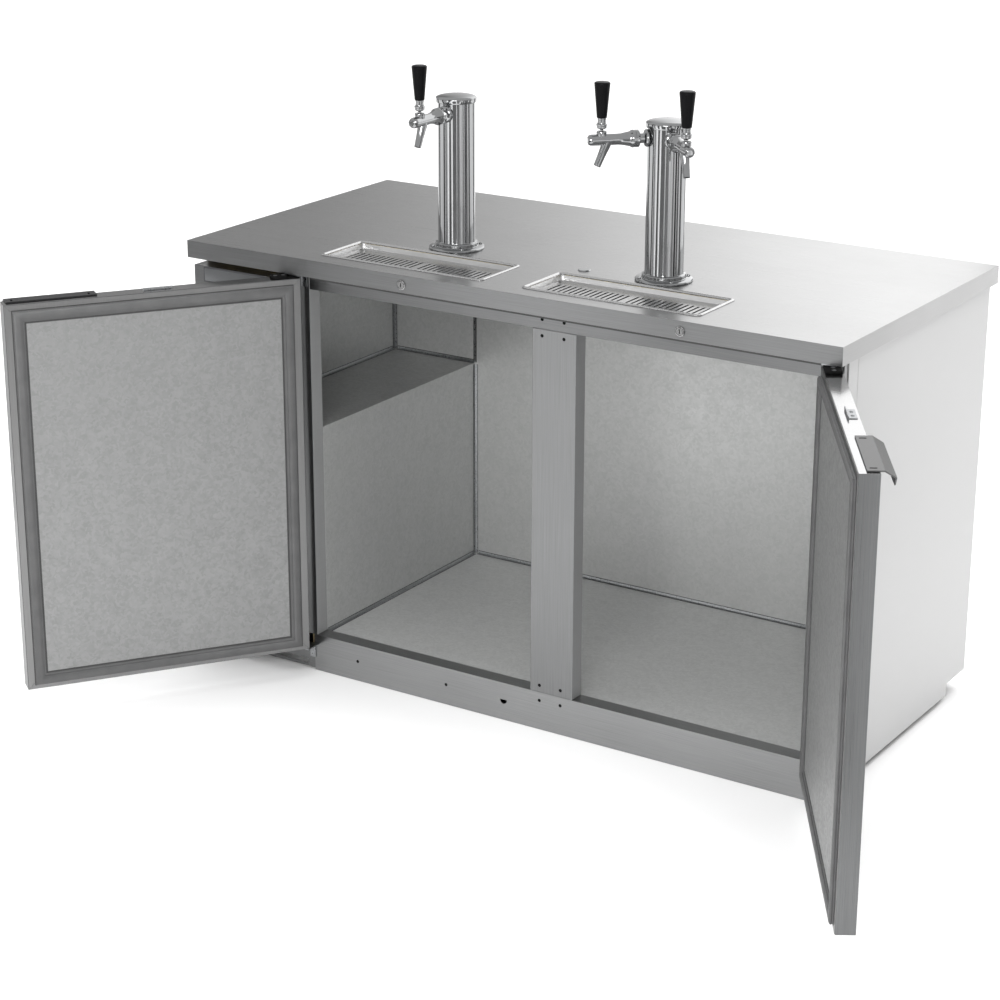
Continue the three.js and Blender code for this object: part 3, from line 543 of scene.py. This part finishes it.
# ---- drip trays: deep-drawn pans with a thin rolled rim ------------------------------------------
TRAY_RIM_DOWN, TRAY_FLOOR_DOWN = 1.0, 17
for side in ("left", "right"):
    low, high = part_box(f"drip_tray_{side}")
    c = (low + high) / 2 / MM
    w, d = (high.x - low.x) / MM / 2, (high.y - low.y) / MM / 2
    section = [(0, 12, 0.35), (0, 12, 1.2), (0.6, 12, 1.9), (2, 11, 2.6), (3.8, 10, 3.0), (5.6, 9, 2.8),
               (7.0, 8, 1.6), (8.0, 7.5, -0.8), (9.4, 7, -5), (12.2, 6, -14.4), (13.0, 6, -19.0),
               (14.4, 6, -20.6), (17, 6, -21.0)]
    back = [(17, 6, -21.9), (13.8, 6, -21.6), (11.9, 6, -19.6), (10.7, 6, -14.6), (8.6, 7, -5),
            (7.4, 7.5, -0.8), (6.2, 8, 0.35)]
    bm = bmesh.new()
    loops = [rounded_loop(c.x, c.y, w - i, d - i, r, TOP + z, 8) for i, r, z in section]
    under = [rounded_loop(c.x, c.y, w - i, d - i, r, TOP + z, 8) for i, r, z in back]
    made = add_loops(bm, loops + under + [loops[0]], closed=False)
    # the floor is two sheets: its edge strip between them is taken out
    inner_top = made[len(section) - 1]
    inner_low = made[len(section)]
    bm.faces.new(inner_top)
    bm.faces.new(inner_low)
    both = inner_top + inner_low
    for face in [f for f in bm.faces if len(f.verts) == 4 and all(v in both for v in f.verts)]:
        bm.faces.remove(face)
    pan = finish_mesh(f"tray_pan_{side}", bm, "tray", "cabinet", 50)
    # rim polished steel, walls satin steel; the floor under the grid wears near-black plastic: painted shade
    for look in ("tray_rim", "seam_and_painted_shade", "tray_wall"):
        pan.data.materials.append(MATS[look])
    for face in pan.data.polygons:
        if face.center.z > (TOP - TRAY_RIM_DOWN) * MM:
            face.material_index = 1
        elif face.center.z < (TOP - TRAY_FLOOR_DOWN) * MM:
            face.material_index = 2
        else:
            face.material_index = 3
    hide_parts(f"drip_tray_{side}")

# ---- doors: gasket, mitred frame lips, hinge block -----------------------------------------------
# joint, the way u runs along X when shut, degrees open at rest
DOORS = {"left": ("door_left_hinge", 1, -125.55), "right": ("door_right_hinge", -1, 121.33)}
DOOR_W, DOOR_Z0, DOOR_Z1 = 603.9, 63.5, 877.0
PIN_U, PIN_N = 4.9, 18.6
SEAL_U0, SEAL_U1, SEAL_Z0, SEAL_Z1 = 17, 588, 73.5, 864
for side, (joint, sign, opened) in DOORS.items():
    pin = Vector(joints[joint]["pos_m"])
    swing = Matrix.Translation((pin.x, pin.y, 0)) @ Matrix.Rotation(math.radians(opened), 4, "Z")
    body = f"door_{side}"

    def at(u, n, z):
        """u runs from the hinge edge, n from the inner face outward, z from the ground."""
        return swing @ Vector((sign * (u - PIN_U) * MM, (PIN_N - n) * MM, z * MM))

    def seal_loop(inset, n):
        return [at(SEAL_U0 + inset, n, SEAL_Z0 + inset), at(SEAL_U1 - inset, n, SEAL_Z0 + inset),
                at(SEAL_U1 - inset, n, SEAL_Z1 - inset), at(SEAL_U0 + inset, n, SEAL_Z1 - inset)]

    section = [(0, -0.3), (0, -1.6), (1.2, -2.4), (1.6, -3.6), (0.9, -4.6), (0.8, -6.4), (2.0, -8.0),
               (4.2, -9.2), (11.5, -9.3), (14.2, -8.6), (15.4, -7.4), (16.6, -7.2), (17.8, -6.4),
               (18.2, -4.2), (19.4, -3.6), (22.2, -3.4), (23.0, -2.6), (23.0, -0.3)]
    bm = bmesh.new()
    rings = [seal_loop(inset, n) for inset, n in section]
    add_loops(bm, rings + [rings[0]], closed=False)
    gasket_shadow_lines = bmesh.new()
    # near-black bands along the gasket's outer and inner edges: painted shadow lines
    for inset, wide, n0, n1 in ((-1.6, 1.5, -0.3, -1.0), (23.1, 3.2, -2.35, -3.0)):
        band = [seal_loop(i, n)
                for i, n in ((inset, n0), (inset, n1), (inset + wide, n1), (inset + wide, n0))]
        add_loops(gasket_shadow_lines, band + [band[0]], closed=False)
    line = finish_mesh(f"gasket_painted_shadow_lines_{side}", gasket_shadow_lines, "gasket_painted_shadow", body, 40)
    seal = finish_mesh(f"gasket_{side}", bm, "gasket", body, 40)
    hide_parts(f"door_gasket_{side}")
    bm = bmesh.new()
    edge = 1.2
    for u0, u1, z0, z1, kind in ((edge, DOOR_W - edge, DOOR_Z1 - edge, DOOR_Z1 - 15.5, "h"),
                                 (edge, DOOR_W - edge, DOOR_Z0 + edge, DOOR_Z0 + 15.5, "h"),
                                 (edge, 16.2, DOOR_Z0 + edge, DOOR_Z1 - edge, "v"),
                                 (DOOR_W - edge, DOOR_W - 14.6, DOOR_Z0 + edge, DOOR_Z1 - edge, "v")):
        gap = 0.5
        if kind == "h":
            wide = abs(z1 - z0)
            outline = [(u0 + gap, z0), (u1 - gap, z0), (u1 - wide - gap, z1), (u0 + wide + gap, z1)]
        else:
            wide = abs(u1 - u0)
            outline = [(u0, z0 + gap), (u1, z0 + wide + gap), (u1, z1 - wide - gap), (u0, z1 - gap)]
        add_loops(bm, [[at(u, 0.4, z) for u, z in outline], [at(u, -0.9, z) for u, z in outline]])
    lips = finish_mesh(f"door_lips_{side}", bm, "lip", body, 30)
    bm = bmesh.new()
    place = swing @ Matrix.Diagonal((sign, -1, 1, 1)) @ (
        Matrix.Translation((-PIN_U * MM, -PIN_N * MM, 0)))
    add_block(bm, (26, 2.5, DOOR_Z1 + 0.3), (55, 32, DOOR_Z1 + 6.2), place, 0.8)
    add_block(bm, (1, 2, DOOR_Z1 + 0.3), (55, 32, DOOR_Z1 + 2.6), place, 0.4)
    block = finish_mesh(f"hinge_block_{side}", bm, "hinge", body, 30)
    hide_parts(f"hinge_plate_{side}")
    bm = bmesh.new()
    for u in (31, 48):
        add_lathe(bm, [(0, DOOR_Z1 + 5), (4.2, DOOR_Z1 + 5), (4.2, DOOR_Z1 + 6.3), (3.4, DOOR_Z1 + 6.4),
                       (0, DOOR_Z1 + 6.4)], Matrix.Translation(at(u, 17, 0)), 24)
    add_lathe(bm, [(0, DOOR_Z1 + 2), (4, DOOR_Z1 + 2), (4, DOOR_Z1 + 6), (3.2, DOOR_Z1 + 6.4),
                   (0, DOOR_Z1 + 6.4)], Matrix.Translation(at(PIN_U, PIN_N, 0)), 24)
    pins = finish_mesh(f"hinge_pins_{side}", bm, "zinc", body, 30)
    bm = bmesh.new()
    for u in (281, 303):
        add_lathe(bm, [(0, DOOR_Z1 + 1.3), (3.4, DOOR_Z1 + 1.3), (3.2, DOOR_Z1 + 2.2), (2, DOOR_Z1 + 2.8),
                       (0, DOOR_Z1 + 3)], Matrix.Translation(at(u, 23, 0)), 20)
    rivets = finish_mesh(f"strike_rivets_{side}", bm, "zinc", body, 40)

# ---- locks: bezel, plug and key slot -------------------------------------------------------------
for side in ("left", "right"):
    spot = Vector(joints[f"lock_{side}_turn"]["pos_m"])
    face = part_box("worktop")[0].y / MM
    axis = Matrix.Translation((spot.x, 0, spot.z))
    place = axis @ Matrix.Rotation(math.radians(90), 4, "X")
    bm = bmesh.new()
    f = -face
    add_lathe(bm, [(0, f - 12), (8, f - 12), (8, f + 0.3), (10.2, f + 0.3), (10.5, f + 0.7),
                   (10.4, f + 1.5), (9.6, f + 2.4), (8.2, f + 2.7), (7.6, f + 2.2), (7.4, f + 1.7),
                   (7.1, f + 1.7), (6.9, f + 2.3), (0, f + 2.4)], place, 40)
    lock = finish_mesh(f"lock_face_{side}", bm, "lock", f"lock_{side}", 30)
    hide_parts(f"door_lock_{side}")
    # the key slot: a near-black bar on the plug's face, painted shade for the slot's hollow
    bm = bmesh.new()
    add_block(bm, (-0.9, face - 2.75, -4.4), (0.9, face - 1.2, 4.4), axis, 0.3)
    key = finish_mesh(f"lock_keyway_{side}", bm, "screw", f"lock_{side}", 30)
    bm = bmesh.new()
    add_block(bm, (-6, face + 11.6, -6), (19, face + 14.4, 6), axis, 0.5)
    cam = finish_mesh(f"lock_cam_{side}", bm, "zinc", f"lock_{side}", 30)

# ---- screws in the door frame --------------------------------------------------------------------
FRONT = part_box("header")[0].y / MM
bm = bmesh.new()
MULLION_SCREWS = [(x, z) for x in (93.5, 143.1) for z in (865.1, 832.2, 97.5, 64.1)]
RAIL_SCREWS = [(-135.4, 44.7), (-362.3, 44.4)]
for x, z in MULLION_SCREWS + RAIL_SCREWS:
    place = Matrix.Translation((x * MM, 0, z * MM)) @ Matrix.Rotation(math.radians(90), 4, "X")
    add_lathe(bm, [(0, -FRONT - 6), (2.4, -FRONT - 6), (2.4, -FRONT + 0.02), (3.6, -FRONT + 0.02),
                   (3.5, -FRONT + 0.12), (2.2, -FRONT + 0.16), (0, -FRONT + 0.18)], place, 20)
screws = finish_mesh("frame_screws", bm, "screw", "cabinet", 40)

# ---- liner: folded corner trims over a dark sealed joint -----------------------------------------
def corner_trim(bright, dark, start, end, side_a, side_b):
    """An angle strip along an inside corner between the walls that run off in side_a and side_b."""
    a, b = Vector(side_a), Vector(side_b)
    for bm, reach, thick, lift in ((dark, 7.4, 0.25, 0.05), (bright, 6.0, 0.9, 0.1)):
        loops = []
        for p in (Vector(start), Vector(end)):
            p = p + (a + b) * lift
            loops.append([q * MM for q in (
                p, p + a * reach, p + a * reach + b * thick * 0.6, p + a * (reach - 0.8) + b * thick,
                p + a * (thick + 1.2) + b * thick, p + a * (thick + 0.4) + b * (thick + 0.4),
                p + a * thick + b * (thick + 1.2), p + a * thick + b * (reach - 0.8),
                p + a * thick * 0.6 + b * reach, p + b * reach)])
        add_loops(bm, loops)


floor_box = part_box("liner_floor_right")
# inside faces: x0, x1 side walls, y1 back, zf floor, zs raised shelf, zc ceiling, xs the recess's left wall
x0, x1 = -467.3, 688.0
y0, y1 = floor_box[0].y / MM + 1, 299.9
zf, zs, zc, xs = 78.5, 541.0, 856.0, -691.0
bright, dark = bmesh.new(), bmesh.new()
for run in (
        ((x0 + 9, y1, zf), (x1 - 9, y1, zf), (0, -1, 0), (0, 0, 1)),
        ((x0, y0, zf), (x0, y1 - 9, zf), (1, 0, 0), (0, 0, 1)),
        ((x1, y0, zf), (x1, y1 - 9, zf), (-1, 0, 0), (0, 0, 1)),
        ((x0, y1, zf + 1), (x0, y1, zs - 3), (1, 0, 0), (0, -1, 0)),
        ((x1, y1, zf + 1), (x1, y1, zc - 1), (-1, 0, 0), (0, -1, 0)),
        ((xs, y1, zs + 1), (xs, y1, zc - 1), (1, 0, 0), (0, -1, 0)),
        ((xs + 9, y1, zs), (x0 - 1, y1, zs), (0, -1, 0), (0, 0, 1)),
        ((xs, y0, zs), (xs, y1 - 9, zs), (1, 0, 0), (0, 0, 1))):
    corner_trim(bright, dark, *run)
# the raised back wall's own joint, above the shelf's end
add_block(dark, (x0 - 4.2, y1 - 1.1, zs + 1), (x0 + 4.2, y1 - 0.1, zc - 1))
add_block(bright, (x0 - 1.8, y1 - 2.0, zs + 1), (x0 + 1.8, y1 - 1.0, zc - 1))
trims = finish_mesh("liner_corner_trims", bright, "zinc", "cabinet", 30)
joints_dark = finish_mesh("liner_corner_seals", dark, "seam_and_painted_shade", "cabinet", 30)

# ---- dark strip on the header, a painted shadow under the worktop: from the camera's side it lines up with the worktop's lower edge ---
STRIP_Z0, STRIP_Z1 = 867.0, 870.6
low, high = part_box("header")
bm = bmesh.new()
add_block(bm, (low.x / MM + 1, FRONT - 0.35, STRIP_Z0), (high.x / MM - 1, FRONT + 0.5, STRIP_Z1))
shadow_strip = finish_mesh("worktop_painted_shadow_strip", bm, "seam_and_painted_shade", "cabinet", 30)

# ---- blank name plate with a dark border ---------------------------------------------------------
low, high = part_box("name_plate")
c, w, d = (low + high) / 2 / MM, (high.x - low.x) / MM / 2, (high.z - low.z) / MM / 2
flat = Matrix.Translation((0, high.y, 0)) @ Matrix.Rotation(math.radians(90), 4, "X")
bm = bmesh.new()
add_loops(bm, [[flat @ p for p in rounded_loop(c.x, c.z, w - i, d - i, 3, z)]
               for i, z in ((0, 0), (0, 0.9), (0.4, 1.2), (2.2, 1.2), (2.4, 0.8))])
border = finish_mesh("name_plate_border", bm, "plate_edge", "cabinet", 40)
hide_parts("name_plate")
bm = bmesh.new()
add_loops(bm, [[flat @ p for p in rounded_loop(c.x, c.z, w - i, d - i, 2.5, z)]
               for i, z in ((2.6, 0.6), (2.6, 1.0), (3.0, 1.15))])
blank = finish_mesh("name_plate_blank", bm, "plate", "cabinet", 40)

# ---- floor, studio cards and light ---------------------------------------------------------------
def stage_card(name, corners, material):
    mesh = bpy.data.meshes.new(name)
    mesh.from_pydata([Vector(c) for c in corners], [], [tuple(range(len(corners)))])
    mesh.materials.append(material)
    obj = bpy.data.objects.new(name, mesh)
    bpy.context.scene.collection.objects.link(obj)
    obj.visible_camera = name == "floor"
    return obj


n = Nodes("floor_white")
n.set(Base_Color=n.ramp(n.noise(n.position(), 1.5), [(0.3, 0.89), (0.7, 0.91)]), Roughness=0.9)
distance = n.add("ShaderNodeVectorMath", operation="LENGTH")
n.join(n.position(), distance.inputs[0])
n.set(Emission_Color=n.ramp(n.spread(distance.outputs["Value"], 0, 1, 3.5, 8.0), [(0, 0.0), (1, 0.35)]))
n.shader.inputs["Emission Strength"].default_value = 1.0
FLOOR_Z, FLOOR_HALF = -0.0006, 30
stage_card("floor", [(x * FLOOR_HALF, y * FLOOR_HALF, FLOOR_Z)
                     for x, y in ((-1, -1), (1, -1), (1, 1), (-1, 1))], n.material)

n = Nodes("white_backdrop")
n.set(Base_Color=(0, 0, 0), Emission_Color=n.ramp(n.noise(n.position(), 0.4), [(0.3, 0.995), (0.7, 1.0)]))
n.shader.inputs["Emission Strength"].default_value = 1.05
RING_R, RING_H, RING_STEPS = 14, 14.0, 48
bm = bmesh.new()
add_loops(bm, [[Vector((RING_R * math.cos(a), RING_R * math.sin(a), z))
                for a in (2 * math.pi * k / RING_STEPS for k in range(RING_STEPS))]
               for z in (0.0, RING_H)], closed=False)
ring = bpy.data.meshes.new("white_backdrop")
bm.to_mesh(ring)
bm.free()
ring.materials.append(n.material)
backdrop = bpy.data.objects.new("white_backdrop", ring)
bpy.context.scene.collection.objects.link(backdrop)
backdrop.visible_diffuse = False
backdrop.visible_glossy = False
backdrop.visible_shadow = False

n = Nodes("gradient_card")
split = n.add("ShaderNodeSeparateXYZ")
n.join(n.position(), split.inputs["Vector"])
glow = n.spread(split.outputs["X"], 0.0, 1.0, -3.9, -1.3)
n.set(Base_Color=(0.02, 0.02, 0.02), Emission_Color=n.ramp(glow, [(0.0, 0.16), (0.45, 0.42), (1.0, 1.0)]))
n.shader.inputs["Emission Strength"].default_value = 1.75
stage_card("gradient_card", [(-9, 4.2, 1.25), (4, 4.2, 1.25), (4, 4.2, 5.0), (-9, 4.2, 5.0)], n.material)


def flag(name, bearing, width, tone, glow=0.0, reach=1.9, height=1.5):
    """An upright card, seen only in reflections, at a bearing in degrees from +X round the columns."""
    n = Nodes(name)
    n.set(Base_Color=n.ramp(n.noise(n.position(), 3), [(0.3, tone * 0.9), (0.7, tone)]), Roughness=0.9)
    if glow:
        n.set(Emission_Color=n.ramp(n.noise(n.position(), 3), [(0.3, 0.95), (0.7, 1.0)]))
        n.shader.inputs["Emission Strength"].default_value = glow
    ends = [(reach * math.cos(math.radians(b)), -0.1 + reach * math.sin(math.radians(b)))
            for b in (bearing - width / 2, bearing + width / 2)]
    corners = [(*ends[0], 0), (*ends[1], 0), (*ends[1], height), (*ends[0], height)]
    card = stage_card(name, corners, n.material)
    card.visible_diffuse = False
    card.visible_shadow = False


# bearing, width in degrees, tone, glow
for k, (bearing, width, tone, glow) in enumerate((
        (180, 12, 0.06, 0), (219, 9, 0.03, 0), (232, 8, 0.3, 0), (247, 4, 0.9, 1.6), (258, 9, 0.10, 0),
        (270, 4, 0.9, 1.6), (286, 22, 0.22, 0), (310, 16, 0.30, 0), (330, 8, 0.5, 0.5), (343, 8, 0.30, 0),
        (357, 9, 0.03, 0), (10, 10, 0.2, 0), (30, 12, 0.12, 0), (78, 12, 0.05, 0))):
    flag(f"card_{k}", bearing, width, tone, glow)

world = bpy.data.worlds.new("studio")
bpy.context.scene.world = world
world.use_nodes = True
world.node_tree.nodes["Background"].inputs["Color"].default_value = (1, 1, 1, 1)
world.node_tree.nodes["Background"].inputs["Strength"].default_value = 0.72


# the overhead lamp is kept out of reflections: the worktop would mirror it
def area(name, location, target, size, power, size_y=None):
    data = bpy.data.lights.new(name, "AREA")
    data.shape = "RECTANGLE"
    data.size = size
    data.size_y = size_y or size
    data.energy = power
    lamp = bpy.data.objects.new(name, data)
    lamp.location = location
    lamp.visible_glossy = name != "overhead"
    lamp.rotation_euler = (Vector(target) - Vector(location)).to_track_quat("-Z", "Y").to_euler()
    bpy.context.scene.collection.objects.link(lamp)


area("overhead", (0, 1.5, 7.5), (0, 1.5, 0), 12, 1150)
area("front", (1.9, -5.2, 2.2), (-0.1, 0.2, 0.5), 2.4, 190, 2.0)
bpy.context.scene.view_settings.view_transform = "Standard"
